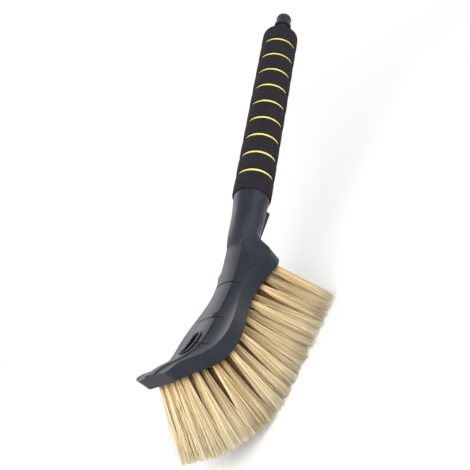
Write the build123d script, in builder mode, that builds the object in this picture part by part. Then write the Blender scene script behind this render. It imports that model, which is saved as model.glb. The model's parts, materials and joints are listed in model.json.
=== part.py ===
from build123d import *
import math
import os

# Head: the moulded shell that carries the bristles
head_run = 159.0
flat_run = 100.0
bend_radius = 52.0
toe_lift = 30.0
toe_face_lean = 13.0
heel_half_width = 29.0
wall_height = 13.0
toe_corner_radius = 9.0
shell_wall = 3.4
toe_end_wall = 5.0
pocket_depth = 10.4

# Sections from heel to toe: share of the head's run, and half width as a share of the heel's
station_shares = [0.0, 0.02, 0.055, 0.11, 0.2, 0.31, 0.42, 0.52, 0.62, 0.72, 0.86, 1.0]
width_shares = [0.93, 0.97, 1.0, 0.87, 0.67, 0.645, 0.78, 0.92, 0.955, 0.88, 0.76, 0.69]
wall_height_shares = [0.86, 0.86, 0.87, 0.92, 1.0, 1.0, 1.0, 1.0, 1.01, 1.03, 1.03, 0.98]

# Roof: a spine panel with a low step on each side, and hollow flanks down to the wall
spine_half_width = 9.0
spine_step = 1.2
roof_rise = 4.6
spine_width_shares = [1.0, 1.0, 1.0, 1.0, 0.98, 1.0, 1.08, 1.1, 1.05, 0.95, 0.75, 0.5]
roof_rise_shares = [3.75, 3.45, 3.1, 2.45, 1.6, 1.1, 0.98, 0.96, 0.95, 0.88, 0.52, 0.34]
crest_sagitta_share = 0.05
flank_sagitta_share = -0.07

# Neck: fishtail from the heel corners to the round end under the grip
neck_run = 54.3
neck_end_height = 35.6
neck_end_radius = 15.5
neck_rise_angle = 17.4
neck_run_shares = [-0.17, 0.0, 0.09, 0.22, 0.47, 0.7, 0.85]
neck_lean_shares = [0.0, 0.0, 0.0, 0.35, 0.8, 1.0, 1.0]
neck_low_width_shares = [0.8, 0.86, 0.66, 0.36, 0.238, 0.2465, 0.257]
neck_low_shares = [0.185, 0.185, 0.26, 0.345, 0.421, 0.509, 0.566]
neck_side_width_shares = [0.9, 0.92, 0.78, 0.54, 0.462, 0.493, 0.514]
neck_side_shares = [0.3, 0.325, 0.4, 0.55, 0.747, 0.857, 0.929]
neck_top_width_shares = [0.27, 0.315, 0.3, 0.28, 0.241, 0.2465, 0.257]
neck_top_shares = [0.683, 0.795, 0.876, 0.957, 1.095, 1.205, 1.291]
neck_low_sagitta_shares = [-0.05, -0.05, -0.02, 0.1, 0.134, 0.134, 0.134]
neck_side_sagitta_shares = [0.02, 0.02, 0.05, 0.1, 0.13, 0.134, 0.134]
neck_flank_sagitta_shares = [-0.1, -0.075, -0.05, 0.02, 0.1, 0.134, 0.134]
neck_crest_sagitta_shares = [0.05, 0.05, 0.07, 0.1, 0.13, 0.134, 0.134]
rib_thickness = 3.2
rib_reach = 22.5
rib_end_gap = 2.0

# Grip: black foam rings with yellow rings between them on a hollow core
grip_length = 206.0
grip_radius = 17.0
stripe_count = 9
stripe_width = 2.8
stripe_recess = 1.3
stripe_pitch = 20.6
foam_edge_radius = 1.1
foam_end_radius = 4.0
core_radius = 12.0
core_wall = 3.0
foam_clearance = 0.1

# Water way from the core's bore through the neck into the chamber over the bristle block
water_way_radius = 6.0
water_way_reach = 74.0
core_bore_overlap = 6.0

# Hose connector pressed into the end of the core
flange_thickness = 2.5
boss_radius = 8.6
boss_length = 7.8
boss_flute_count = 8
boss_flute_width = 2.2
boss_flute_depth = 0.7
waist_radius = 6.4
waist_length = 5.0
collar_radius = 8.3
collar_length = 3.4
nose_radius = 6.8
nose_length = 11.8
nose_chamfer = 1.2
seal_thickness = 1.9
seal_groove_depth = 1.3
seal_setback = 3.4
seal_clearance = 0.05
inlet_radius = 4.25
inlet_land = 2.0
spigot_length = 16.0
spigot_wall = 2.6
spigot_clearance = 0.1
spigot_seal_thickness = 1.0
spigot_seal_setback = 5.0

# Bristle block and its tufts
block_recess = 2.2
block_thickness = 6.0
block_clearance = 0.15
slice_thickness = 2.6
zone_names = ["heel", "rear", "rear_waist", "waist", "middle", "bend", "front", "toe"]
rows_per_zone = 2
tuft_columns = 6
tuft_edge_margin = 3.7
first_row_margin = 4.8
last_row_margin = 4.8
bristle_length = 60.0
tip_cut = 0.5
heel_lean = -15.0
toe_lean = 29.5
lean_power_share = 1.8
tip_half_width = 33.5
toe_tip_half_width = 18.0
tip_width_power_share = 1.6
strand_sides = 3
strand_root_radius = 0.75
strand_root_spread = 1.1
strand_tip_spread = 2.6
tip_radius_share = 0.055
tip_side_spread_share = 0.12
strand_sink = 1.0
anchor_length = 3.6
anchor_thickness = 0.6
anchor_height = 2.0
anchor_clearance = 0.1
outlet_radius = 1.5

# Blind slot and engraved lines of the roof
slot_run_share = 0.71
slot_length = 24.0
slot_width = 6.6
slot_depth = 3.6
rim_width = 1.6
rim_height = 1.0
groove_width = 0.9
groove_depth = 0.6
groove_run_shares = [0.25, 0.5, 0.71]

cut_overrun = 1.0
circle_sagitta_share = 1 - math.cos(math.radians(30))


def seat(run):
    """Place and slope of the head's lower rim, at a run from the heel towards the toe."""
    bend_run = bend_radius * math.radians(toe_lift)
    turn = min(max(run - flat_run, 0), bend_run) / bend_radius
    beyond = max(run - flat_run - bend_run, 0)
    x = -min(run, flat_run) - bend_radius * math.sin(turn) - beyond * math.cos(turn)
    z = bend_radius * (1 - math.cos(turn)) + beyond * math.sin(turn)
    return x, z, math.degrees(turn)


rise = math.radians(neck_rise_angle)
row_count = rows_per_zone * len(zone_names)
first_row = shell_wall + first_row_margin
last_row = head_run - toe_end_wall - last_row_margin
row_pitch = (last_row - first_row) / (row_count - 1)
row_runs = [first_row + row * row_pitch for row in range(row_count)]
nipple_length = boss_length + waist_length + collar_length + nose_length
toe_strand_radius = toe_tip_half_width * tip_radius_share
front_reach = (
    -seat(last_row)[0]
    + bristle_length * math.sin(math.radians(toe_lean))
    + (strand_tip_spread + toe_strand_radius / 2) * math.cos(math.radians(toe_lean))
)
rear_reach = (
    neck_run
    + (grip_length + nipple_length) * math.cos(rise)
    + nose_radius * math.sin(rise)
)
heel_x = (front_reach - rear_reach) / 2
rim_z = bristle_length


def station_plane(run):
    """Plane square to the rim at a run: local x is the part's Y, local y points up."""
    x, z, turn = seat(run)
    way = (math.cos(math.radians(turn)), 0, -math.sin(math.radians(turn)))
    return Plane(origin=(heel_x + x, 0, rim_z + z), x_dir=(0, 1, 0), z_dir=way)


def rim_plane(run):
    """Plane in the rim at a run: local x is the part's Y, and its normal points up."""
    upright = station_plane(run)
    return Plane(origin=upright.origin, x_dir=upright.x_dir, z_dir=upright.y_dir)


def at_share(values, share):
    """Value of a station table at any share of the head's run, on straight lines."""
    for low, high, a, b in zip(station_shares, station_shares[1:], values, values[1:]):
        if share <= high:
            return a + (b - a) * (share - low) / (high - low)
    return values[-1]


handle_axis = Plane(
    origin=(heel_x + neck_run, 0, rim_z + neck_end_height),
    x_dir=(0, 1, 0),
    z_dir=(math.cos(rise), 0, math.sin(rise)),
)


def section_face(plane, corners, bulges):
    """Section through the right-hand corners and their mirror images, edge by edge.

    Bulges are the sagittas of the edges as shares of their chords: first the bottom edge,
    then the edges up the right-hand side, then the top one. A zero bulge is a line.
    """
    mirrored = [(-x, y) for x, y in reversed(corners)]
    outline = corners + mirrored
    around = bulges[1:] + bulges[-2:0:-1] + bulges[:1]
    edges = []
    for start, end, bulge in zip(outline, outline[1:] + outline[:1], around):
        a, b = Vector(*start), Vector(*end)
        middle = (a + b) / 2 + Vector(b.Y - a.Y, a.X - b.X) * bulge
        edges.append(ThreePointArc(a, middle, b) if bulge else Line(a, b))
    return plane * Face(Wire(edges))


def head_section(index, lift):
    """Outline of the moulded head at one station, with its top raised by the lift.

    The sections stand upright, and the last one leans out over the toe.
    """
    x, z, _ = seat(station_shares[index] * head_run)
    lean = math.radians(toe_face_lean) if index == len(station_shares) - 1 else 0
    plane = Plane(
        origin=(heel_x + x, 0, rim_z + z),
        x_dir=(0, 1, 0),
        z_dir=(math.cos(lean), 0, math.sin(lean)),
    )
    half = width_shares[index] * heel_half_width
    wall = wall_height_shares[index] * wall_height + lift
    spine = spine_width_shares[index] * spine_half_width
    roof = wall + roof_rise_shares[index] * roof_rise
    corners = [(half, 0), (half, wall), (spine + spine_step, roof - spine_step), (spine, roof)]
    return section_face(plane, corners, [0, 0, flank_sagitta_share, 0, crest_sagitta_share])


def neck_section(index):
    """Outline of the neck at one station, on a plane that leans over towards the grip.

    The plane turns about the two side corners, so their height is its origin's.
    """
    side = neck_side_shares[index] * neck_end_height
    lean = neck_lean_shares[index] * rise
    plane = Plane(
        origin=(heel_x + neck_run_shares[index] * neck_run, 0, rim_z + side),
        x_dir=(0, 1, 0),
        z_dir=(math.cos(lean), 0, math.sin(lean)),
    )
    widths = [neck_low_width_shares, neck_side_width_shares, neck_top_width_shares]
    heights = [neck_low_shares, neck_side_shares, neck_top_shares]
    corners = [
        (width[index] * heel_half_width, height[index] * neck_end_height - side)
        for width, height in zip(widths, heights)
    ]
    bulges = [
        neck_low_sagitta_shares[index],
        neck_side_sagitta_shares[index],
        neck_flank_sagitta_shares[index],
        neck_crest_sagitta_shares[index],
    ]
    return section_face(plane, corners, bulges)


def neck_end_section():
    """Full circle in six arcs, so that it matches the corners of the other sections."""
    half, tall = neck_end_radius / 2, neck_end_radius * math.sin(math.radians(60))
    corners = [(half, -tall), (neck_end_radius, 0), (half, tall)]
    return section_face(handle_axis, corners, [circle_sagitta_share] * 4)


def head_form(lift=0.0):
    """Outer form of the head as one solid, its top raised or lowered by the lift."""
    with BuildPart() as form:
        loft([head_section(index, lift) for index in range(len(station_shares))])
    return form.part


def toe_corners(form):
    """The two upright edges at the toe end of a form."""
    toe_end = form.faces().sort_by(Axis.X)[0]
    return toe_end.edges().sort_by(lambda edge: abs(edge.center().Y))[-2:]


def rim_layer(inset, low, high):
    """Solid inside the shell's wall, between two heights over the rim, bent at each row."""
    start, end = shell_wall, head_run - toe_end_wall
    if inset > shell_wall:
        start, end = start + block_clearance, end - block_clearance
    with BuildPart() as layer:
        for run in [start] + row_runs + [end]:
            half = at_share(width_shares, run / head_run) * heel_half_width - inset
            with BuildSketch(station_plane(run)):
                with Locations((0, (low + high) / 2)):
                    Rectangle(2 * half, high - low)
        loft(ruled=True)
        fillet(toe_corners(layer), toe_corner_radius - inset)
    return layer.part


# Handle's line, and the plane through it that turned pieces are drawn on
handle_line = Axis(handle_axis.origin, handle_axis.z_dir)
turning_plane = Plane(
    origin=handle_axis.origin,
    x_dir=handle_axis.z_dir,
    z_dir=(0, -1, 0),
)


def turned(start, length, inner, outer, edge=0.0, end_edge=0.0):
    """Ring turned about the handle's axis, its outer edges rounded, the far one maybe more."""
    with BuildPart() as ring:
        with BuildSketch(turning_plane) as profile:
            with Locations((start + length / 2, (inner + outer) / 2)):
                Rectangle(length, outer - inner)
            if edge:
                fillet(profile.vertices().group_by(Axis.Y)[-1].sort_by(Axis.X)[0], edge)
                far_corner = profile.vertices().group_by(Axis.Y)[-1].sort_by(Axis.X)[-1]
                fillet(far_corner, max(edge, end_edge))
        revolve(axis=handle_line)
    return ring.part


def seal_ring(centre, inner, thickness):
    """Round rubber ring about the handle's axis, lying on an inner radius."""
    with BuildPart() as ring:
        with BuildSketch(turning_plane):
            with Locations((centre, inner + thickness / 2)):
                Circle(thickness / 2)
        revolve(axis=handle_line)
    return ring.part


# Neck: fishtail from the heel to the round end that the grip butts against
with BuildPart() as neck_form:
    neck_stations = range(len(neck_run_shares))
    loft([neck_section(index) for index in neck_stations] + [neck_end_section()])

# Stiffening rib under the neck
with BuildPart() as rib_form:
    rib_end = handle_axis.offset(-rib_end_gap)
    rib_tip = rib_end.origin - rib_end.y_dir * rib_reach
    rib_root = rib_end.origin - rib_end.y_dir * neck_end_radius / 2
    with BuildSketch(Plane.XZ):
        with BuildLine():
            Polyline(
                (heel_x, rim_z + neck_low_shares[1] * neck_end_height),
                (rib_tip.X, rib_tip.Z),
                (rib_root.X, rib_root.Z),
                (heel_x, rim_z + neck_side_shares[1] * neck_end_height),
                close=True,
            )
        make_face()
    extrude(amount=rib_thickness / 2, both=True)

# Raised rim of the slot and the cuts in the roof, all of them following its surface
slot_seat = seat(slot_run_share * head_run)
slot_plane = Plane(
    origin=(heel_x + slot_seat[0], 0, rim_z + slot_seat[1]),
    z_dir=(math.sin(math.radians(slot_seat[2])), 0, math.cos(math.radians(slot_seat[2]))),
)
roof_reach = 2 * wall_height + roof_rise

with BuildPart() as slot_rim:
    with BuildSketch(slot_plane.offset(pocket_depth + slot_depth / 2)):
        SlotOverall(slot_length + 2 * rim_width, slot_width + 2 * rim_width)
    extrude(amount=roof_reach)
    add(head_form(rim_height), mode=Mode.INTERSECT)

with BuildPart() as slot_cut:
    with BuildSketch(slot_plane):
        SlotOverall(slot_length, slot_width)
    extrude(amount=roof_reach)
    add(head_form(-slot_depth), mode=Mode.SUBTRACT)

with BuildPart() as groove_cuts:
    for groove_share in groove_run_shares:
        with BuildSketch(station_plane(groove_share * head_run)):
            with Locations((0, roof_reach / 2)):
                Rectangle(2 * at_share(spine_width_shares, groove_share) * spine_half_width, roof_reach)
        extrude(amount=groove_width / 2, both=True)
    add(head_form(-groove_depth), mode=Mode.SUBTRACT)
    add(slot_rim.part, mode=Mode.SUBTRACT)

# Head body: shell, neck and hollow core of the handle, moulded in one
core_bore_radius = core_radius - core_wall
core_length = grip_length - flange_thickness
with BuildPart() as head_body:
    add(head_form())
    fillet(toe_corners(head_body), toe_corner_radius)
    add(slot_rim.part)
    add(neck_form.part)
    add(rib_form.part)
    add(turned(-cut_overrun, core_length + cut_overrun, core_bore_radius, core_radius))
    add(rim_layer(shell_wall, -cut_overrun, pocket_depth), mode=Mode.SUBTRACT)
    add(slot_cut.part, mode=Mode.SUBTRACT)
    add(groove_cuts.part, mode=Mode.SUBTRACT)
    with BuildSketch(handle_axis.offset(-water_way_reach)):
        Circle(water_way_radius)
    extrude(amount=water_way_reach, mode=Mode.SUBTRACT)
    with BuildSketch(handle_axis.offset(-core_bore_overlap)):
        Circle(core_bore_radius)
    extrude(amount=core_bore_overlap + grip_length, mode=Mode.SUBTRACT)
head_body.part.label = "head_body"


# Rows of tufts: where each row stands, how its tufts lean and where their tips end
def column_shares(row):
    """Places of a row's tufts as shares of its half width; odd rows stand in the gaps."""
    gap = 2 / (tuft_columns - 1)
    columns = tuft_columns - row % 2
    return [(column - (columns - 1) / 2) * gap for column in range(columns)]


def row_place(row):
    """Root plane, tip plane and half widths of the tufts in one row.

    Local x is the part's Y on both planes. All tufts are of one length and end square to
    their lean, so that their tips rise towards the heel and with the toe.
    """
    x, z, turn = seat(row_runs[row])
    along = row / (row_count - 1)
    lean = heel_lean + (toe_lean - heel_lean) * along**lean_power_share
    angle, up = math.radians(lean), math.radians(turn)
    depth = block_recess + strand_sink
    root = (heel_x + x + depth * math.sin(up), 0, rim_z + z + depth * math.cos(up))
    tip = (
        heel_x + x - bristle_length * math.sin(angle),
        0,
        rim_z + z - bristle_length * math.cos(angle) - tip_cut,
    )
    root_plane = Plane(origin=root, x_dir=(0, 1, 0), z_dir=(-math.sin(up), 0, -math.cos(up)))
    tip_plane = Plane(origin=tip, x_dir=(0, 1, 0), z_dir=(-math.sin(angle), 0, -math.cos(angle)))
    root_half = at_share(width_shares, row_runs[row] / head_run) * heel_half_width
    root_half -= shell_wall + tuft_edge_margin
    tip_half = tip_half_width
    tip_half += (toe_tip_half_width - tip_half_width) * along**tip_width_power_share
    return root_plane, tip_plane, root_half, tip_half


def anchor_places(height):
    """Place of each tuft's anchor, at a height over the rim, turned with it."""
    return [
        station_plane(row_runs[row]) * Pos(share * row_place(row)[2], height)
        for row in range(row_count)
        for share in column_shares(row)
    ]


def strand(root_plane, tip_plane, root, tip, tip_radius):
    """One three-sided strand from its place on the root plane to its place on the tip plane."""
    foot = root_plane * Pos(*root) * RegularPolygon(strand_root_radius, strand_sides)
    end = tip_plane * Pos(*tip) * RegularPolygon(tip_radius, strand_sides)
    return loft([foot.face(), end.face()])


def tuft(row, column_share):
    """Five strands that stand like the dots of a five on a die and fan out to their tips."""
    root_plane, tip_plane, root_half, tip_half = row_place(row)
    dots = [(0, 0)] + [(side, along) for side in (-1, 1) for along in (-1, 1)]
    return [
        strand(
            root_plane,
            tip_plane,
            (column_share * root_half + side * strand_root_spread, along * strand_root_spread),
            (
                column_share * tip_half + side * tip_half * tip_side_spread_share,
                along * strand_tip_spread,
            ),
            tip_half * tip_radius_share,
        )
        for side, along in dots
    ]


# Bristle zones: each a slice of the block's face with two rows of tufts and a water outlet
face_inset = shell_wall + block_clearance
face_layer = rim_layer(face_inset, block_recess, block_recess + slice_thickness)
zone_ends = [first_row + (rows_per_zone * zone - 0.5) * row_pitch for zone in range(len(zone_names))]
outlet_runs = [row_runs[rows_per_zone * zone] + row_pitch / 2 for zone in range(len(zone_names))]
zones = []
for index, zone_name in enumerate(zone_names):
    zone_rows = range(rows_per_zone * index, rows_per_zone * (index + 1))
    strands = [one for row in zone_rows for share in column_shares(row) for one in tuft(row, share)]
    with BuildPart() as zone:
        add(face_layer)
        if index > 0:
            split(bisect_by=station_plane(zone_ends[index]), keep=Keep.BOTTOM)
        if index < len(zone_names) - 1:
            split(bisect_by=station_plane(zone_ends[index + 1]), keep=Keep.TOP)
        add(strands)
        split(bisect_by=Plane.XY, keep=Keep.TOP)
        with BuildSketch(rim_plane(outlet_runs[index])):
            Circle(outlet_radius)
        extrude(amount=pocket_depth, mode=Mode.SUBTRACT)
    zone.part.label = f"bristles_{zone_name}"
    zones.append(zone)

# Bristle block: closes the chamber over the slices, with the outlets and the anchors' pockets
slice_top = block_recess + slice_thickness
with BuildPart() as bristle_block:
    add(rim_layer(face_inset, slice_top, block_recess + block_thickness))
    for run in outlet_runs:
        with BuildSketch(rim_plane(run)):
            Circle(outlet_radius)
        extrude(amount=pocket_depth, mode=Mode.SUBTRACT)
    with Locations(*anchor_places(slice_top)):
        Box(
            anchor_length + 2 * anchor_clearance,
            2 * (anchor_height + 2 * anchor_clearance),
            anchor_thickness + 2 * anchor_clearance,
            mode=Mode.SUBTRACT,
        )
bristle_block.part.label = "bristle_block"

# Tuft anchors: one strip of metal across each tuft, in its pocket over the slice
with BuildPart() as tuft_anchors:
    with Locations(*anchor_places(slice_top + anchor_clearance + anchor_height / 2)):
        Box(anchor_length, anchor_height, anchor_thickness)
tuft_anchors.part.label = "tuft_anchors"

# Grip: foam rings between thin coloured rings, the end ones longer than the rest
stripe_starts = [
    (grip_length - (stripe_count - 1) * stripe_pitch - stripe_width) / 2 + stripe * stripe_pitch
    for stripe in range(stripe_count)
]
foam_starts = [0.0] + [start + stripe_width for start in stripe_starts]
foam_ends = stripe_starts + [grip_length]
rings = []
for number, (start, end) in enumerate(zip(foam_starts, foam_ends), 1):
    end_edge = foam_end_radius if end == grip_length else foam_edge_radius
    foam_ring = turned(
        start,
        end - start,
        core_radius + foam_clearance,
        grip_radius,
        foam_edge_radius,
        end_edge,
    )
    foam_ring.label = f"foam_ring_{number:02d}"
    rings.append(foam_ring)
for number, start in enumerate(stripe_starts, 1):
    yellow_ring = turned(
        start, stripe_width, core_radius + foam_clearance, grip_radius - stripe_recess
    )
    yellow_ring.label = f"yellow_ring_{number}"
    rings.append(yellow_ring)

# Hose connector: spigot in the core, flange on its end, and the nipple for a hose coupling
spigot_radius = core_bore_radius - spigot_clearance
spigot_start = core_length - spigot_length
waist_start = grip_length + boss_length
land_start = waist_start - inlet_land
collar_start = waist_start + waist_length
nose_start = collar_start + collar_length
nose_end = nose_start + nose_length
seal_centre = nose_end - seal_setback
spigot_seal_centre = core_length - spigot_seal_setback
with BuildPart() as hose_connector:
    add(turned(spigot_start, spigot_length, inlet_radius, spigot_radius))
    add(turned(core_length, flange_thickness, inlet_radius, core_radius))
    add(turned(grip_length, boss_length, inlet_radius, boss_radius))
    add(turned(waist_start, waist_length, inlet_radius, waist_radius))
    add(turned(collar_start, collar_length, inlet_radius, collar_radius))
    add(turned(nose_start, nose_length, inlet_radius, nose_radius))
    add(
        turned(spigot_start, land_start - spigot_start, 0, spigot_radius - spigot_wall),
        mode=Mode.SUBTRACT,
    )
    nose_rim = hose_connector.edges().filter_by(GeomType.CIRCLE).sort_by(handle_line)[-2:]
    chamfer(nose_rim.sort_by(SortBy.RADIUS)[-1], nose_chamfer)
    for centre, outer, thickness, depth in [
        (seal_centre, nose_radius, seal_thickness, seal_groove_depth),
        (spigot_seal_centre, spigot_radius, spigot_seal_thickness, spigot_seal_thickness),
    ]:
        width = thickness + 2 * seal_clearance
        groove = turned(centre - width / 2, width, outer - depth, outer + cut_overrun)
        add(groove, mode=Mode.SUBTRACT)
    with BuildSketch(handle_axis.offset(grip_length)):
        with PolarLocations(boss_radius + boss_flute_width / 2 - boss_flute_depth, boss_flute_count):
            Circle(boss_flute_width / 2)
    extrude(amount=boss_length, mode=Mode.SUBTRACT)
hose_connector.part.label = "hose_connector"

# O-rings of the nose and the spigot
nose_seal = seal_ring(seal_centre, nose_radius - seal_groove_depth + seal_clearance, seal_thickness)
nose_seal.label = "nose_seal"
spigot_seal = seal_ring(
    spigot_seal_centre,
    spigot_radius - spigot_seal_thickness + seal_clearance,
    spigot_seal_thickness,
)
spigot_seal.label = "spigot_seal"

pieces = [head_body.part, bristle_block.part, tuft_anchors.part, hose_connector.part]
pieces += [zone.part for zone in zones] + rings + [nose_seal, spigot_seal]
os.makedirs("parts", exist_ok=True)
for piece in pieces:
    export_step(piece, f"parts/{piece.label}.step")
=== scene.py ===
import json
import math

import bpy
import numpy as np
from mathutils import Matrix, Vector


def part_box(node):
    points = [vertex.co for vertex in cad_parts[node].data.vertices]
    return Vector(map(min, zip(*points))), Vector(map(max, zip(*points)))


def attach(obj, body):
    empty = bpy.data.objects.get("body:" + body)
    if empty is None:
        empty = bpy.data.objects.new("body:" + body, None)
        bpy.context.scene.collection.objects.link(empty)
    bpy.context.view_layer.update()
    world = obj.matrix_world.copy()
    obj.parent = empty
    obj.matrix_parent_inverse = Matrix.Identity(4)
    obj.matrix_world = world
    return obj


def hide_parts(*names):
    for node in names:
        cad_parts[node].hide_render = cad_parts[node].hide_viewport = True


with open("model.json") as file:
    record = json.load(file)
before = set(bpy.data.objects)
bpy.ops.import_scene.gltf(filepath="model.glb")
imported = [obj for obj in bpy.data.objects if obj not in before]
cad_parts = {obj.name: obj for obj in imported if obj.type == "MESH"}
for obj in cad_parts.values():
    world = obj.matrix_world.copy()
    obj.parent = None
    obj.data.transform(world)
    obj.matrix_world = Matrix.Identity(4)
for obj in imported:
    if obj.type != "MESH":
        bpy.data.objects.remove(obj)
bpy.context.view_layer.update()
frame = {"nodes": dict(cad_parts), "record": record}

# Head: its walls, the block and its face plate
shell_wall = 0.0034
toe_end_wall = 0.005
block_clearance = 0.00015
block_recess = 0.0022
face_thickness = 0.0026
face_sections = 60

# Rim of the head: level from the heel, then a bend, then straight up to the toe
flat_run = 0.100
bend_radius = 0.052
toe_lift = math.radians(30)
head_run = 0.159
heel_half_width = 0.029
station_shares = [0.0, 0.02, 0.055, 0.11, 0.2, 0.31, 0.42, 0.52, 0.62, 0.72, 0.86, 1.0]
width_shares = [0.93, 0.97, 1.0, 0.87, 0.67, 0.645, 0.78, 0.92, 0.955, 0.88, 0.76, 0.69]
heel_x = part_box("bristle_block")[1].x + shell_wall + block_clearance
rim_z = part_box("head_body")[0].z

# Tufts: rows from heel to toe, each with columns across, and how far their fibres reach
zone_names = ["heel", "rear", "rear_waist", "waist", "middle", "bend", "front", "toe"]
tuft_rows = 16
tuft_columns = 6
first_row = 0.0082
last_row = 0.1492
edge_margin = 0.0037
bristle_length = 0.060
heel_lean = math.radians(-15)
toe_lean = math.radians(29.5)
lean_power = 1.8
tip_half_width = 0.0335
toe_tip_half_width = 0.018
tip_width_power = 1.6
tuft_root_radius = 0.0023
root_depth = 0.0006
tuft_tip_row_share = 0.56
tuft_tip_across_share = 0.165
odd_row_root_stretch_share = 1.1
odd_row_tip_stretch_share = 1.2
toe_draw_in_share = 0.4
cone_opening_share = 0.54
heel_rows = 2
heel_fullness_share = 1.3
lowest_tip = 0.0002

# Fibres of a tuft: their locks, their unevenness, and the painted brown shade between the tufts
locks_per_tuft = 22
fibres_per_tuft = 400
lock_spread_share = 0.86
fibre_spread_share = 0.22
lock_length_share = 0.006
lock_drift = 0.0006
fibre_trim_share = 0.012
fibre_short_share = 0.011
fibre_waver = 0.0004
fibre_scatter = 0.0007
stray_share = 0.05
stray_scatter_share = 4.0
stray_short_share = 0.1
fibre_radius = 0.00025
fibre_tip_radius = 0.00015
fibre_thickness_shares = [0.8, 1.25]
fibre_rings = 5
fibre_sides = 3
# Painted brown shade on fibres far inside the bed: its strength, how far in from the sides and
# ends it is full, and how it fades from root to tip
painted_shade_strength = 0.95
painted_shade_margin_share = 0.42
painted_shade_margin_rows = 2
painted_shade_start = 1.3
painted_shade_slope = 1.6

# Spine of the roof, the slot in it and the lines engraved across it
spine_half_width = 0.009
spine_step = 0.0012
spine_width_shares = [1.0, 1.0, 1.0, 1.0, 0.98, 1.0, 1.08, 1.1, 1.05, 0.95, 0.75, 0.5]
slot_run_share = 0.71
slot_length = 0.024
slot_width = 0.0066
slot_rim_width = 0.0016
line_run_shares = [0.25, 0.5, 0.71]
line_reaches = [0.016, 0.016, 0.0185]
neck_line_start = 0.0088
neck_line_end = 0.013
neck_line_aside = 0.002
line_width = 0.0009

# Each line's painted shade: full to one share of the line's width, none past another, and how
# strong
cross_line_shades = [0.4, 0.8, 0.9]
slot_foot_shades = [0.3, 0.7, 0.7]
neck_line_shades = [0.5, 1.0, 0.8]
spine_line_shades = [0.4, 0.9, 1.0]
slot_edge_shares = [0.85, 1.08]
# Painted crease shade along the spine: weak on the side facing the camera, strong on the far side
spine_painted_shade_near_far = [0.2, 0.85]
spine_fade_in_shares = [0.03, 0.08]
spine_fade_out_shares = [0.92, 0.99]

# Grip rings on the handle's axis, measured from the neck
water_inlet = next(m for m in frame["record"]["mounts"] if m["name"] == "water_inlet")
grip_length = 0.206
inlet_setback = 0.0058
nose_beyond_grip = 0.028
grip_radius = 0.017
core_radius = 0.0121
stripe_width = 0.0028
stripe_pitch = 0.0206
stripe_count = 9
stripe_recess = 0.0013
stripe_edge = stripe_width / 5
stripe_crown = 0.0001
stripe_wobble = 0.00005
foam_edge = 0.0011
foam_end_edge = 0.004
foam_crown = 0.00015
foam_wobble = 0.0001
wobble_turns = [2, 3, 4]
wobble_rates = [90, 130, 170]
ring_segments = 120
edge_points = 7
crown_points = 8
axis = np.array(water_inlet["axis"])
inlet_middle = grip_length + (inlet_setback + nose_beyond_grip) / 2
grip_start = np.array(water_inlet["pos_m"]) - axis * inlet_middle
random = np.random.default_rng(seed=7)

# Colours of the finishes in linear red, green and blue; where there are two, dark then light
shell_colours = (0.009, 0.0105, 0.0155), (0.017, 0.020, 0.028)
block_colours = (0.012, 0.011, 0.012), (0.022, 0.020, 0.020)
connector_colours = (0.012, 0.014, 0.019), (0.022, 0.025, 0.034)
plastic_shine = (0.80, 0.88, 1.0)
# Near-black painted shade for the roof's grooves, slot and spine creases
roof_painted_shade_colour = (0.001, 0.001, 0.0015)
foam_colours = (0.005, 0.004, 0.006), (0.021, 0.018, 0.024)
stripe_colours = (0.80, 0.70, 0.13), (0.92, 0.84, 0.27)
stripe_pore_colour = (0.66, 0.53, 0.05)
fibre_dark_colour = (0.40, 0.235, 0.075)
# Painted brown shade of fibres far inside the bed
fibre_painted_shade_colour = (0.21, 0.10, 0.022)
rubber_colours = (0.008, 0.008, 0.009), (0.02, 0.02, 0.021)
metal_colours = (0.45, 0.44, 0.42), (0.62, 0.61, 0.58)

# Colour of a fibre by the share of its length, from root to tip
fibre_colours = [
    (0.0, (0.84, 0.63, 0.33)),
    (0.2, (0.95, 0.77, 0.46)),
    (0.7, (0.97, 0.84, 0.55)),
    (1.0, (0.98, 0.90, 0.66)),
]

# How much of a pattern or a dark colour goes into a finish's tone, roughness or bump
grain_in_tone = 0.35
rubbing_in_roughness = 0.16
streaks_in_roughness = 0.05
lines_in_roughness = 0.5
rubbing_in_bump = 0.25
small_pores_in_foam = 0.4
pores_in_foam_tone = 0.6
cloud_in_foam_tone = 0.6
pores_in_stripe_tone = 0.2
flecks_in_fibre_tone = 0.25
dark_in_fibre_tone = 0.8

# Scales of the patterns that are drawn out along the brush, up its fibres and across it
streak_stretch = (60, 900, 900)
fleck_stretch = (900, 900, 60)
drawn_stretch = (300, 60, 300)

# Roughness at the two ends of a finish's pattern
foam_roughness = [0.95, 0.82]
stripe_roughness = [0.7, 0.85]
fibre_roughness = [0.62, 0.45]
rubber_roughness = [0.35, 0.5]
metal_roughness = [0.3, 0.5]


# Shader maths
class Signal:
    """A socket of a finish being made; arithmetic on it adds Math nodes."""

    def __init__(self, finish, socket):
        self.finish = finish
        self.socket = socket

    def maths(self, operation, first, second=0.0):
        return self.finish.node("ShaderNodeMath", {"operation": operation}, {0: first, 1: second})

    def __add__(self, other):
        return self.maths("ADD", self, other)

    def __sub__(self, other):
        return self.maths("SUBTRACT", self, other)

    def __rsub__(self, other):
        return self.maths("SUBTRACT", other, self)

    def __mul__(self, other):
        return self.maths("MULTIPLY", self, other)

    def __pow__(self, other):
        return self.maths("POWER", self, other)

    def __abs__(self):
        return self.maths("ABSOLUTE", self)

    def at_least(self, other):
        return self.maths("MAXIMUM", self, other)

    __radd__ = __add__
    __rmul__ = __mul__


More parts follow.
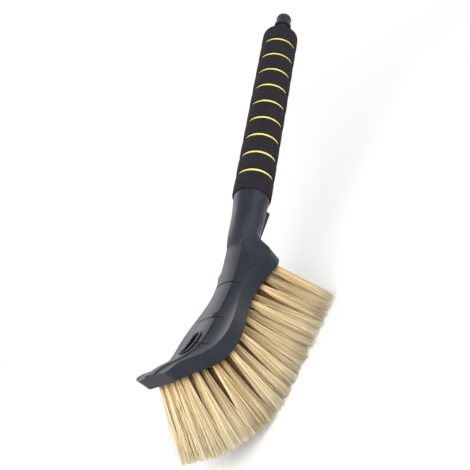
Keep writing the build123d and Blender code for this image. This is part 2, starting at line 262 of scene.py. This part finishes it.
class Finish:
    """One material: fixed values go on the surface shader, and varying ones are linked to it."""

    def __init__(self, name, **fixed):
        self.material = bpy.data.materials.new(name)
        self.material.use_nodes = True
        self.tree = self.material.node_tree
        self.shader = self.tree.nodes["Principled BSDF"]
        for key, value in fixed.items():
            self.shader.inputs[key.replace("_", " ")].default_value = value

    def node(self, kind, settings=None, values=None, output=0):
        """Adds any node: its settings first, then the values or links of its sockets."""
        made = self.tree.nodes.new(kind)
        for key, value in (settings or {}).items():
            if key == "stops":
                self.set_stops(made.color_ramp, value)
            else:
                setattr(made, key, value)
        for key, value in (values or {}).items():
            self.feed(made.inputs[key], value)
        return Signal(self, made.outputs[output])

    def set_stops(self, ramp, stops):
        while len(ramp.elements) < len(stops):
            ramp.elements.new(1)
        for element, (place, colour) in zip(ramp.elements, stops):
            element.position = place
            element.color = (*colour, 1)

    def feed(self, socket, value):
        if isinstance(value, Signal):
            self.tree.links.new(value.socket, socket)
        else:
            socket.default_value = value

    def surface(self, **varying):
        for key, value in varying.items():
            self.feed(self.shader.inputs[key.replace("_", " ")], value)

    def place(self, scale=(1, 1, 1)):
        """Object coordinates, stretched by a scale."""
        coordinates = self.node("ShaderNodeTexCoord", output="Object")
        return self.node("ShaderNodeMapping", None, {"Vector": coordinates, "Scale": scale})

    def towards(self, place, direction):
        """Distance of a place along a direction."""
        settings = {"operation": "DOT_PRODUCT"}
        values = {0: place, 1: direction}
        return self.node("ShaderNodeVectorMath", settings, values, output="Value")

    def attribute(self, name):
        return self.node("ShaderNodeAttribute", {"attribute_name": name}, output="Fac")

    def noise(self, place, scale, detail, roughness=0.55):
        values = {"Vector": place, "Scale": scale, "Detail": detail, "Roughness": roughness}
        return self.node("ShaderNodeTexNoise", None, values)

    def cells(self, place, scale):
        return self.node("ShaderNodeTexVoronoi", None, {"Vector": place, "Scale": scale})

    def ramp(self, factor, stops):
        return self.node("ShaderNodeValToRGB", {"stops": stops}, {0: factor})

    def span(self, value, low, high, to_low, to_high):
        """Value carried from one range to another and held at its ends."""
        values = {"Value": value, "From Min": low, "From Max": high}
        values.update({"To Min": to_low, "To Max": to_high})
        return self.node("ShaderNodeMapRange", None, values)

    def rising(self, value, low, high):
        """None below a range, one above it and a slope between."""
        return self.span(value, low, high, 0.0, 1.0)

    def falling(self, value, low, high):
        """One below a range, none above it and a slope between."""
        return self.span(value, low, high, 1.0, 0.0)

    def mix(self, factor, first, second):
        """Two colours mixed by a factor; sockets 6 and 7 of the node are its colours."""
        first, second = (v if isinstance(v, Signal) else (*v, 1) for v in (first, second))
        values = {0: factor, 6: first, 7: second}
        return self.node("ShaderNodeMix", {"data_type": "RGBA"}, values, output=2)

    def bump(self, height, distance, strength):
        values = {"Height": height, "Distance": distance, "Strength": strength}
        return self.node("ShaderNodeBump", None, values)


def run_frame(run):
    """Direction towards the heel at a run of the roof, and the run's distance along it."""
    x, z, turn = (float(value) for value in rim(np.array(run)))
    direction = (math.cos(turn), 0.0, -math.sin(turn))
    return direction, x * direction[0] + z * direction[2]


def line_band(finish, away, shades):
    """Painted shade of a line at a distance from its middle, with soft edges."""
    core_share, edge_share, strength = shades
    return finish.span(away, line_width * core_share, line_width * edge_share, strength, 0.0)


def roof_painted_shade(finish):
    """Painted shade in the slot, in the lines of the roof and along the spine's creases, from
    none to full.
    """
    place = finish.place()
    across = finish.towards(place, (0, 1, 0))
    aside = abs(across)
    shade = painted_neck_line_shade(finish, place, aside)
    for share, reach in zip(line_run_shares, line_reaches):
        shade = shade.at_least(painted_cross_line_shade(finish, place, aside, share, reach))
    shade = painted_slot_shade(finish, place, aside, shade)
    return shade.at_least(painted_spine_crease_shade(finish, place, across))


def painted_cross_line_shade(finish, place, aside, share, reach):
    """Painted shade in a groove across the roof: a band about its run, out to its reach."""
    direction, middle = run_frame(share * head_run)
    away = abs(finish.towards(place, direction) - middle)
    ends = finish.falling(aside, reach - line_width / 2, reach + line_width / 2)
    return line_band(finish, away, cross_line_shades) * ends


def painted_slot_shade(finish, place, aside, shade):
    """Shade so far, with painted shade inside the slot and a painted shadow at its rim's foot.

    The slot is a leaf, where the share across and the squared share along add up to less than
    one. The foot is a band at a distance round a straight middle line.
    """
    direction, middle = run_frame(slot_run_share * head_run)
    away = abs(finish.towards(place, direction) - middle)
    leaf = aside * (2 / slot_width) + (away * (2 / slot_length)) ** 2.0
    # Painted shade filling the slot's leaf-shaped hollow
    shade = shade.at_least(finish.falling(leaf, *slot_edge_shares))
    # Painted shadow in a band round the foot of the slot's rim
    straight = (away - (slot_length - slot_width) / 2).at_least(0.0)
    round_slot = (straight**2.0 + aside**2.0) ** 0.5
    foot = abs(round_slot - (slot_width / 2 + slot_rim_width + line_width / 4))
    return shade.at_least(line_band(finish, foot, slot_foot_shades))


def painted_neck_line_shade(finish, place, aside):
    """Painted shade of two short lines at the neck, slanting out at 45 degrees in plan as they
    near the toe.
    """
    run = heel_x - finish.towards(place, (1, 0, 0))
    away = abs(aside - run - neck_line_aside)
    start = finish.rising(run, neck_line_start, neck_line_start + line_width / 2)
    end = finish.falling(run, neck_line_end - line_width / 2, neck_line_end)
    return line_band(finish, away, neck_line_shades) * start * end


def painted_spine_crease_shade(finish, place, across):
    """Painted shade in the crease at the foot of the spine's two edges, darker on the side away
    from the camera.

    A colour ramp along the head holds half of the spine's width shares, since a ramp's values
    may not pass one.
    """
    x = rim(np.array(station_shares) * head_run)[0]
    toe_x, heel_end_x = x[-1], x[0]
    stops = [
        ((place_x - toe_x) / (heel_end_x - toe_x), (share / 2,) * 3)
        for place_x, share in zip(x[::-1], spine_width_shares[::-1])
    ]
    forward = finish.rising(finish.towards(place, (1, 0, 0)), toe_x, heel_end_x)
    edge = finish.ramp(forward, stops) * (2 * spine_half_width) + spine_step
    away = abs(abs(across) - edge)
    fade_in = finish.rising(forward, *spine_fade_in_shares)
    fade_out = finish.falling(forward, *spine_fade_out_shares)
    # Painted shade is weak on the side facing the camera and strong on the side away from it
    side = finish.span(across, -spine_step, spine_step, *spine_painted_shade_near_far)
    return line_band(finish, away, spine_line_shades) * side * (fade_in * fade_out)


def moulded_plastic(name, colours, roughness, grain, lines=None):
    """Dark moulded plastic: cloudy tone, fine grain in the bump, rubbed patches in the gloss, and
    painted shade where lines are given.
    """
    finish = Finish(name, Specular_IOR_Level=0.25, Specular_Tint=(*plastic_shine, 1))
    place = finish.place()
    cloud = finish.noise(place, scale=38.0, detail=4.0)
    fine = finish.noise(place, scale=2600.0, detail=2.0)
    rubbed = finish.noise(place, scale=160.0, detail=5.0, roughness=0.65)
    streaks = finish.noise(finish.place(streak_stretch), scale=1.0, detail=2.0)
    tone = finish.rising(cloud + grain_in_tone * fine, low=0.4, high=0.9)
    rubbing = rubbing_in_roughness * (rubbed - 0.5)
    gloss = roughness + rubbing + streaks_in_roughness * (streaks - 0.5)
    colour = finish.mix(tone, *colours)
    # Painted shade of the roof's grooves, slot and creases, mixed towards near black and made
    # rougher there
    if lines:
        shade = lines(finish)
        colour = finish.mix(shade, colour, roof_painted_shade_colour)
        gloss = gloss + shade * lines_in_roughness
    height = fine * grain + rubbing_in_bump * rubbed
    finish.surface(
        Base_Color=colour,
        Roughness=gloss,
        Normal=finish.bump(height, distance=0.00012, strength=0.5),
    )
    return finish.material


def grip_foam():
    """Closed-cell foam: small pores in colour and bump, with a soft, uneven tone."""
    finish = Finish("grip_foam", Specular_IOR_Level=0.12)
    place = finish.place()
    pores = finish.cells(place, scale=1500.0)
    small_pores = finish.cells(place, scale=3100.0)
    cloud = finish.noise(place, scale=120.0, detail=4.0)
    skin = finish.rising(pores + small_pores_in_foam * small_pores, low=0.05, high=0.8)
    mixed = skin * pores_in_foam_tone + cloud * cloud_in_foam_tone
    tone = finish.rising(mixed, low=0.2, high=0.9)
    finish.surface(
        Base_Color=finish.mix(tone, *foam_colours),
        Roughness=finish.span(skin, 0.0, 1.0, *foam_roughness),
        Normal=finish.bump(1 - skin, distance=0.00022, strength=0.7),
    )
    return finish.material


def stripe_foam():
    """Yellow foam of the thin rings between the black ones."""
    finish = Finish("stripe_foam", Specular_IOR_Level=0.3)
    place = finish.place()
    pores = finish.cells(place, scale=1900.0)
    cloud = finish.noise(place, scale=150.0, detail=3.0)
    skin = finish.rising(pores, low=0.05, high=0.7)
    tone = finish.rising(cloud, low=0.3, high=0.7)
    colour = finish.mix(tone, *stripe_colours)
    finish.surface(
        Base_Color=finish.mix(skin * pores_in_stripe_tone, colour, stripe_pore_colour),
        Roughness=finish.span(skin, 0.0, 1.0, *stripe_roughness),
        Normal=finish.bump(1 - skin, distance=0.00015, strength=0.5),
    )
    return finish.material


def bristle_fibre():
    """Straw-coloured fibre: paler to the tip, each one its own tone, and painted brown shade far
    inside the bed.
    """
    finish = Finish("bristle_fibre", Specular_IOR_Level=0.35)
    tone = finish.attribute("tone")
    flecks = finish.noise(finish.place(fleck_stretch), scale=1.0, detail=2.0)
    body = finish.ramp(finish.attribute("along"), fibre_colours)
    shade = finish.rising(tone + flecks_in_fibre_tone * flecks, low=0.25, high=0.8)
    darker = finish.mix(dark_in_fibre_tone, body, fibre_dark_colour)
    colour = finish.mix(shade, darker, body)
    # The attribute mixes painted brown shade into fibres far inside the bed
    finish.surface(
        Base_Color=finish.mix(finish.attribute("deep"), colour, fibre_painted_shade_colour),
        Roughness=finish.span(tone, 0.0, 1.0, *fibre_roughness),
    )
    return finish.material


def rubber():
    """Smooth black rubber of the sealing rings."""
    finish = Finish("seal_rubber", Specular_IOR_Level=0.5)
    cloud = finish.noise(finish.place(), scale=700.0, detail=3.0)
    finish.surface(
        Base_Color=finish.mix(cloud, *rubber_colours),
        Roughness=finish.span(cloud, 0.3, 0.7, *rubber_roughness),
        Normal=finish.bump(cloud, distance=0.00005, strength=0.4),
    )
    return finish.material


def anchor_metal():
    """Drawn metal of the hidden anchors."""
    finish = Finish("anchor_metal", Metallic=1.0)
    drawn = finish.noise(finish.place(drawn_stretch), scale=10.0, detail=3.0)
    finish.surface(
        Base_Color=finish.mix(drawn, *metal_colours),
        Roughness=finish.span(drawn, 0.3, 0.7, *metal_roughness),
    )
    return finish.material


# Surfaces
def rim(run):
    """Rim at a run: level, then round the bend's circle, then straight on at the toe's lift."""
    turn = np.clip(run - flat_run, 0, bend_radius * toe_lift) / bend_radius
    beyond = np.maximum(run - flat_run - bend_radius * toe_lift, 0)
    x = heel_x - np.minimum(run, flat_run) - bend_radius * np.sin(turn) - beyond * np.cos(turn)
    z = rim_z + bend_radius * (1 - np.cos(turn)) + beyond * np.sin(turn)
    return x, z, turn


def half_width(run):
    """Half width of the head's outline at a run."""
    return np.interp(run / head_run, station_shares, width_shares) * heel_half_width


def make_piece(name, points, faces, material, smooth=True):
    """Mesh object from arrays of points and of faces, riding on the one body."""
    mesh = bpy.data.meshes.new(name)
    mesh.from_pydata(points.reshape(-1, 3).tolist(), [], faces.tolist())
    mesh.polygons.foreach_set("use_smooth", [smooth] * len(mesh.polygons))
    mesh.materials.append(material)
    mesh.validate()
    mesh.update()
    piece = bpy.data.objects.new(name, mesh)
    bpy.context.scene.collection.objects.link(piece)
    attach(piece, "root")
    return piece


def tube_faces(rings, sides, closed_ring=False):
    """Quads of a grid of rings by sides; the sides close on themselves, and so may the rings."""
    ring = np.arange(rings if closed_ring else rings - 1)[:, None]
    side = np.arange(sides)[None, :]
    following = (ring + 1) % rings
    beside = (side + 1) % sides
    corners = [
        ring * sides + side,
        ring * sides + beside,
        following * sides + beside,
        following * sides + side,
    ]
    return np.stack(np.broadcast_arrays(*corners), axis=-1).reshape(-1, 4)


def turned_piece(name, profile, material, wobble):
    """Closed profile of (along, radius) carried round the handle's axis.

    The point is start + axis * along + radius * (side * cos + up * sin), and the wobble adds a
    few low waves to the radius, as soft foam has.
    """
    side = np.array([0.0, 1.0, 0.0])
    up = np.cross(axis, side)
    angle = np.linspace(0, 2 * np.pi, ring_segments, endpoint=False)
    along, radius = (profile[:, column][:, None] for column in (0, 1))
    outer = (radius - core_radius) / (grip_radius - core_radius)
    phases = random.uniform(0, 2 * np.pi, len(wobble_turns))
    waves = sum(
        np.sin(turns * angle[None, :] + phase + along * rate)
        for turns, rate, phase in zip(wobble_turns, wobble_rates, phases)
    )
    swept = radius + wobble * waves * outer / len(phases)
    outwards = side * np.cos(angle)[None, :, None] + up * np.sin(angle)[None, :, None]
    points = grip_start + axis * along[..., None] + swept[..., None] * outwards
    faces = tube_faces(len(profile), ring_segments, closed_ring=True)
    return make_piece(name, points, faces[:, ::-1], material)


def rounded_profile(start, end, inner, outer, edges, crown):
    """Rectangle of (along, radius) with rounded outer corners and a slightly crowned top."""
    quarter = np.linspace(0, np.pi / 2, edge_points)
    first = np.column_stack(
        [start + edges[0] * (1 - np.cos(quarter)), outer - edges[0] * (1 - np.sin(quarter))]
    )
    last = np.column_stack(
        [end - edges[1] * (1 - np.sin(quarter)), outer - edges[1] * (1 - np.cos(quarter))]
    )
    share = np.linspace(0, 1, crown_points + 2)[1:-1]
    top = np.column_stack(
        [
            first[-1, 0] + (last[0, 0] - first[-1, 0]) * share,
            np.full(len(share), outer) + crown * np.sin(np.pi * share),
        ]
    )
    ends = np.array([[end, inner], [start, inner]])
    return np.vstack([first, top, last, ends])


def make_grip(foam, stripe):
    """Ten black foam rings with nine yellow ones set back between them."""
    first_stripe = (grip_length - (stripe_count - 1) * stripe_pitch - stripe_width) / 2
    starts = first_stripe + stripe_pitch * np.arange(stripe_count)
    foam_starts = np.concatenate([[0.0], starts + stripe_width])
    foam_ends = np.concatenate([starts, [grip_length]])
    for number, (start, end) in enumerate(zip(foam_starts, foam_ends), 1):
        edges = (foam_edge, foam_end_edge if end == grip_length else foam_edge)
        profile = rounded_profile(start, end, core_radius, grip_radius, edges, foam_crown)
        ring = turned_piece(f"grip_foam_{number:02d}", profile, foam, foam_wobble)
        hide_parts(f"foam_ring_{number:02d}")
    outer = grip_radius - stripe_recess
    for number, start in enumerate(starts, 1):
        end = start + stripe_width
        edges = (stripe_edge, stripe_edge)
        profile = rounded_profile(start, end, core_radius, outer, edges, stripe_crown)
        name = f"grip_stripe_{number}"
        ring = turned_piece(name, profile, stripe, stripe_wobble)
        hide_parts(f"yellow_ring_{number}")


def make_face_plate(material):
    """Face of the bristle block: a slab between two heights over the rim, inside the wall."""
    start = shell_wall + block_clearance
    end = head_run - toe_end_wall - block_clearance
    run = np.linspace(start, end, face_sections)
    x, z, turn = rim(run)
    half = half_width(run) - shell_wall - block_clearance
    heights = block_recess + face_thickness * np.array([0.0, 0.0, 1.0, 1.0])
    sides = np.array([-1.0, 1.0, 1.0, -1.0])
    points = np.stack(
        [
            x[:, None] + np.sin(turn)[:, None] * heights,
            half[:, None] * sides,
            z[:, None] + np.cos(turn)[:, None] * heights,
        ],
        axis=-1,
    )
    corner = np.arange(len(sides))
    caps = np.array([corner[::-1], corner + len(sides) * (len(run) - 1)])
    faces = np.vstack([tube_faces(len(run), len(sides)), caps])
    make_piece("bristle_face", points, faces, material, smooth=False)


def tuft_places():
    """Run, side share and row of every tuft; odd rows stand in the gaps of the even ones."""
    runs = np.linspace(first_row, last_row, tuft_rows)
    places = []
    for row, run in enumerate(runs):
        count = tuft_columns - row % 2
        shares = (np.arange(count) - (count - 1) / 2) / ((tuft_columns - 1) / 2)
        places += [(run, share, row) for share in shares]
    return np.array(places)


def disc(count):
    """Random points that fill the unit circle evenly."""
    spot = np.sqrt(random.uniform(0, 1, count))
    angle = random.uniform(0, 2 * np.pi, count)
    return np.column_stack([spot * np.cos(angle), spot * np.sin(angle)])


def tip_place(run, share, length):
    """Tip of a fibre: out from the rim along the lean at its run, and across by its share.

    The tips of all tufts lie on this one surface. Past the last row it is drawn in.
    """
    run = run - toe_draw_in_share * np.maximum(run - last_row, 0)
    x, z, _ = rim(run)
    along = (run - first_row) / (last_row - first_row)
    lean = heel_lean + (toe_lean - heel_lean) * np.sign(along) * np.abs(along) ** lean_power
    fan = np.sign(along) * np.abs(along) ** tip_width_power
    side = share * (tip_half_width + (toe_tip_half_width - tip_half_width) * fan)
    return np.column_stack([x - np.sin(lean) * length, side, z - np.cos(lean) * length])


def fibre_locks(tuft_count):
    """Lock of every fibre, its dot in the tuft's unit disc, and its lock's length and drift."""
    locks = disc(tuft_count * locks_per_tuft)
    length = random.normal(0, lock_length_share, len(locks))
    drift = random.normal(0, lock_drift, (len(locks), 2))
    count = tuft_count * fibres_per_tuft
    tuft = np.repeat(np.arange(tuft_count), fibres_per_tuft)
    lock = tuft * locks_per_tuft + random.integers(0, locks_per_tuft, count)
    dots = lock_spread_share * locks[lock] + fibre_spread_share * disc(count)
    return lock, dots, length[lock], drift[lock]


def root_places(run, share, row, offsets):
    """Middle of each fibre's tuft just under the block's face, and the fibre's root beside it."""
    x, z, turn = rim(run)
    zero = np.zeros(len(run))
    block_up = np.column_stack([np.sin(turn), zero, np.cos(turn)])
    block_along = np.column_stack([-np.cos(turn), zero, np.sin(turn)])
    sideways = np.array([0.0, 1.0, 0.0])
    root_share = share * np.where(row % 2, odd_row_root_stretch_share, 1.0)
    root_side = root_share * (half_width(run) - shell_wall - edge_margin)
    middle = np.column_stack([x, root_side, z]) + block_up * (block_recess + root_depth)
    return middle, middle + block_along * offsets[:, :1] + sideways * offsets[:, 1:]


def tuft_fibres(tufts):
    """Lines of the fibres of some tufts, as points of shape fibres by rings by three.

    A fibre runs on the quadratic curve through its root and its tip, drawn towards a middle
    point. It keeps its place in the tuft, given by the lock of fibres that it belongs to and by
    its own place in the lock. Roots fill a small disc and tips a wide patch of the surface of
    tips, which meets the next tufts' patches, and between them a tuft opens as a cone does.
    Each lock has its own length and leans its own way, and single fibres stray from it. The
    heel's rows are fuller near their roots. What is returned last is how far inside the bed a
    fibre's tuft stands, from none at the edge to one, which sets how much brown shade is painted
    on its fibres.
    """
    lock, dots, lock_length, drift = fibre_locks(len(tufts))
    run, share, row = np.repeat(tufts, fibres_per_tuft, axis=0).T
    count = len(run)
    fullness = np.where(row < heel_rows, heel_fullness_share, 1.0)[:, None]
    middle_root, root = root_places(run, share, row, dots * tuft_root_radius * fullness)
    strays = random.uniform(0, 1, count) < stray_share
    scatter = fibre_scatter * np.where(strays, stray_scatter_share, 1.0)[:, None]
    scatter = random.normal(0, 1, (count, 3)) * scatter
    short = np.abs(random.normal(0, fibre_short_share, count))
    short = short + np.where(strays, random.uniform(0, stray_short_share, count), 0)
    length = bristle_length * (1 + lock_length - short - fibre_trim_share)
    row_pitch = (last_row - first_row) / (tuft_rows - 1)
    stretch = np.where(row % 2, odd_row_tip_stretch_share, 1.0)
    tip_run = run + dots[:, 0] * tuft_tip_row_share * row_pitch + drift[:, 0]
    tip_share = share + dots[:, 1] * tuft_tip_across_share + drift[:, 1] / tip_half_width
    middle_tip = tip_place(run, share * stretch, length)
    tip = tip_place(tip_run, tip_share * stretch, length) + scatter
    tip[:, 2] = np.maximum(tip[:, 2], lowest_tip)
    opening = cone_opening_share * fullness * (tip - middle_tip)
    waver = random.normal(0, fibre_waver, (count, 3))
    bend = (middle_root + middle_tip) / 2 + opening + waver
    t = np.linspace(0, 1, fibre_rings)[None, :, None]
    line = (1 - t) ** 2 * root[:, None] + 2 * t * (1 - t) * bend[:, None] + t**2 * tip[:, None]
    from_side = (1 - np.abs(share)) / painted_shade_margin_share
    from_end = np.minimum(row, tuft_rows - 1 - row) / painted_shade_margin_rows
    return line, lock, np.clip(np.minimum(from_side, from_end), 0, 1)


def fibre_tubes(line):
    """Thin tube round each line: its points, its sides' quads and its ends' triangles."""
    count = len(line)
    tangent = np.gradient(line, axis=1)
    tangent /= np.linalg.norm(tangent, axis=2, keepdims=True)
    first = np.cross(tangent, np.array([1.0, 0.0, 0.0]))
    first /= np.linalg.norm(first, axis=2, keepdims=True)
    second = np.cross(tangent, first)
    side_turns = np.arange(fibre_sides) * 2 * np.pi / fibre_sides
    twist = random.uniform(0, 2 * np.pi, count)[:, None] + side_turns
    thickness = random.uniform(*fibre_thickness_shares, count)[:, None, None, None]
    radius = np.linspace(fibre_radius, fibre_tip_radius, fibre_rings)[None, :, None, None]
    corner = first[:, :, None] * np.cos(twist)[:, None, :, None]
    corner = corner + second[:, :, None] * np.sin(twist)[:, None, :, None]
    points = line[:, :, None] + thickness * radius * corner
    size = fibre_rings * fibre_sides
    offsets = np.arange(count) * size
    sides = (tube_faces(fibre_rings, fibre_sides)[None] + offsets[:, None, None]).reshape(-1, 4)
    tip_ends = offsets[:, None] + np.arange(size - fibre_sides, size)
    root_ends = offsets[:, None] + np.arange(fibre_sides)[::-1]
    return points, sides, np.vstack([tip_ends, root_ends])


def make_bristles(material):
    """Fibres of every tuft, in one piece for each zone, as thin three-sided tubes."""
    tufts = tuft_places()
    zones = tufts[:, 2] // (tuft_rows / len(zone_names))
    size = fibre_rings * fibre_sides
    for index, zone_name in enumerate(zone_names):
        line, lock, inward = tuft_fibres(tufts[zones == index])
        count = len(line)
        piece = make_fibres(f"bristle_fibres_{zone_name}", *fibre_tubes(line), material)
        lock_tone = random.uniform(0, 1, lock.max() + 1)[lock]
        tone = np.repeat((lock_tone + random.uniform(0, 1, count)) / 2, size)
        along = np.tile(np.repeat(np.linspace(0, 1, fibre_rings), fibre_sides), count)
        # Painted brown shade, strongest at the roots of tufts inside the bed and gone towards the
        # tips
        fading = np.clip(painted_shade_start - painted_shade_slope * along, 0, 1)
        deep = painted_shade_strength * np.repeat(inward, size) * fading
        for attribute_name, values in (("along", along), ("tone", tone), ("deep", deep)):
            attribute = piece.data.attributes.new(attribute_name, "FLOAT", "POINT")
            attribute.data.foreach_set("value", values.astype(np.float32))
        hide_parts(f"bristles_{zone_name}")


def make_fibres(name, points, quads, triangles, material):
    """Mesh of many small tubes, written straight into its arrays."""
    mesh = bpy.data.meshes.new(name)
    corners = np.concatenate([quads.ravel(), triangles.ravel()]).astype(np.int32)
    sizes = np.concatenate([np.full(len(quads), 4), np.full(len(triangles), 3)])
    starts = np.concatenate([[0], np.cumsum(sizes)[:-1]]).astype(np.int32)
    mesh.vertices.add(points.size // 3)
    mesh.vertices.foreach_set("co", points.astype(np.float32).ravel())
    mesh.loops.add(len(corners))
    mesh.loops.foreach_set("vertex_index", corners)
    mesh.polygons.add(len(sizes))
    mesh.polygons.foreach_set("loop_start", starts)
    mesh.polygons.foreach_set("use_smooth", np.ones(len(sizes), bool))
    mesh.materials.append(material)
    mesh.update(calc_edges=True)
    mesh.validate()
    piece = bpy.data.objects.new(name, mesh)
    bpy.context.scene.collection.objects.link(piece)
    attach(piece, "root")
    return piece


def dress(names, material):
    """Gives CAD nodes a finish."""
    for name in names:
        mesh = frame["nodes"][name].data
        mesh.materials.clear()
        mesh.materials.append(material)


# Camera at the photograph's viewing angle: its place, from the heel's end of the rim, and its
# directions were found from the brush's outline
camera_place = Vector((-0.533, -0.4859, 0.2816)) + Vector((heel_x, 0, rim_z))
camera_right = Vector((0.352, -0.706, -0.615)).normalized()
camera_forward = Vector((0.704, 0.632, -0.324)).normalized()
focal_pixels = 927.5
image_pixels = 470
sensor_width = 36.0
nearest_seen = 0.01
farthest_seen = 50.0

# Floor and surroundings: what is seen, and how much light they give
floor_reach = 20.0
floor_tone = (0.9, 0.9, 0.9, 1)
white_start = 0.22
white_end = 0.6
white_share_at_start = 0.25
seen_strength = 1.0
light_strength = 0.62

# Lamps: place, target, width and power
lamps = {
    "key_lamp": ((-1.2, -0.45, 1.0), (-0.08, 0, 0.08), 0.8, 19.0),
    "fill_lamp": ((0.2, -1.1, 0.35), (-0.1, 0, 0.05), 1.0, 6.0),
    "back_lamp": ((0.5, 1.1, 0.8), (-0.1, 0, 0.1), 0.9, 5.0),
}


def make_camera():
    """Perspective camera with no shift, so that the brush stands in the middle."""
    data = bpy.data.cameras.new("camera")
    camera = bpy.data.objects.new("camera", data)
    bpy.context.scene.collection.objects.link(camera)
    up = camera_right.cross(camera_forward).normalized()
    right = camera_forward.cross(up).normalized()
    turn = Matrix((right, up, -camera_forward)).transposed()
    camera.matrix_world = Matrix.Translation(camera_place) @ turn.to_4x4()
    data.sensor_width = sensor_width
    data.lens = sensor_width * focal_pixels / image_pixels
    data.clip_start = nearest_seen
    data.clip_end = farthest_seen
    bpy.context.scene.camera = camera


def seen_directly(tree):
    """Light Path value that is one for camera, glossy and transmission rays."""
    paths = tree.nodes.new("ShaderNodeLightPath")
    seen = paths.outputs["Is Camera Ray"]
    for name in ("Is Glossy Ray", "Is Transmission Ray"):
        either = tree.nodes.new("ShaderNodeMath")
        either.operation = "MAXIMUM"
        tree.links.new(seen, either.inputs[0])
        tree.links.new(paths.outputs[name], either.inputs[1])
        seen = either.outputs[0]
    return seen


def make_floor():
    """Large pale floor that keeps the brush's shadow and turns to plain white farther out.

    What is seen of it is part lit surface and part white light. The white's part is a quarter
    under the brush and grows to all of it away from there, by the distance from the origin.
    """
    corners = np.array([[-1, -1, 0], [1, -1, 0], [1, 1, 0], [-1, 1, 0]]) * floor_reach
    mesh = bpy.data.meshes.new("floor")
    mesh.from_pydata(corners.tolist(), [], [(0, 1, 2, 3)])
    floor = bpy.data.objects.new("floor", mesh)
    bpy.context.scene.collection.objects.link(floor)
    finish = Finish("floor", Roughness=1.0, Specular_IOR_Level=0.0)
    finish.surface(Base_Color=floor_tone)
    place = finish.node("ShaderNodeTexCoord", output="Object")
    settings = {"operation": "LENGTH"}
    distance = finish.node("ShaderNodeVectorMath", settings, {0: place}, output="Value")
    outward = finish.span(distance, white_start, white_end, white_share_at_start, 1.0)
    glow = {"Color": (1, 1, 1, 1), "Strength": seen_strength}
    white = finish.node("ShaderNodeEmission", None, glow)
    seen = Signal(finish, seen_directly(finish.tree))
    lit = Signal(finish, finish.shader.outputs[0])
    mixed = finish.node("ShaderNodeMixShader", None, {0: outward * seen, 1: lit, 2: white})
    finish.feed(finish.tree.nodes["Material Output"].inputs["Surface"], mixed)
    mesh.materials.append(finish.material)


def make_world():
    """Even white surroundings: full white where they are seen, and weaker as light."""
    world = bpy.data.worlds.new("studio")
    bpy.context.scene.world = world
    world.use_nodes = True
    tree = world.node_tree
    background = tree.nodes["Background"]
    strength = tree.nodes.new("ShaderNodeMapRange")
    tree.links.new(seen_directly(tree), strength.inputs["Value"])
    strength.inputs["To Min"].default_value = light_strength
    strength.inputs["To Max"].default_value = seen_strength
    tree.links.new(strength.outputs[0], background.inputs["Strength"])
    background.inputs["Color"].default_value = (1, 1, 1, 1)


def make_lamp(name, place, target, size, power):
    """Soft square area lamp that faces a target."""
    data = bpy.data.lights.new(name, "AREA")
    data.energy = power
    data.size = size
    lamp = bpy.data.objects.new(name, data)
    bpy.context.scene.collection.objects.link(lamp)
    lamp.location = place
    lamp.rotation_mode = "QUATERNION"
    lamp.rotation_quaternion = (Vector(target) - Vector(place)).to_track_quat("-Z", "Y")


shell_plastic = moulded_plastic(
    "shell_plastic", shell_colours, roughness=0.36, grain=0.5, lines=roof_painted_shade
)
block_plastic = moulded_plastic("block_plastic", block_colours, roughness=0.6, grain=0.6)
connector_plastic = moulded_plastic(
    "connector_plastic", connector_colours, roughness=0.34, grain=0.3
)
dress(["head_body"], shell_plastic)
dress(["bristle_block"], block_plastic)
dress(["hose_connector"], connector_plastic)
dress(["nose_seal", "spigot_seal"], rubber())
dress(["tuft_anchors"], anchor_metal())
make_grip(grip_foam(), stripe_foam())
make_face_plate(block_plastic)
make_bristles(bristle_fibre())
make_camera()
make_floor()
make_world()
for lamp_name, (place, target, width, power) in lamps.items():
    make_lamp(lamp_name, place, target, width, power)
bpy.context.scene.view_settings.view_transform = "Standard"
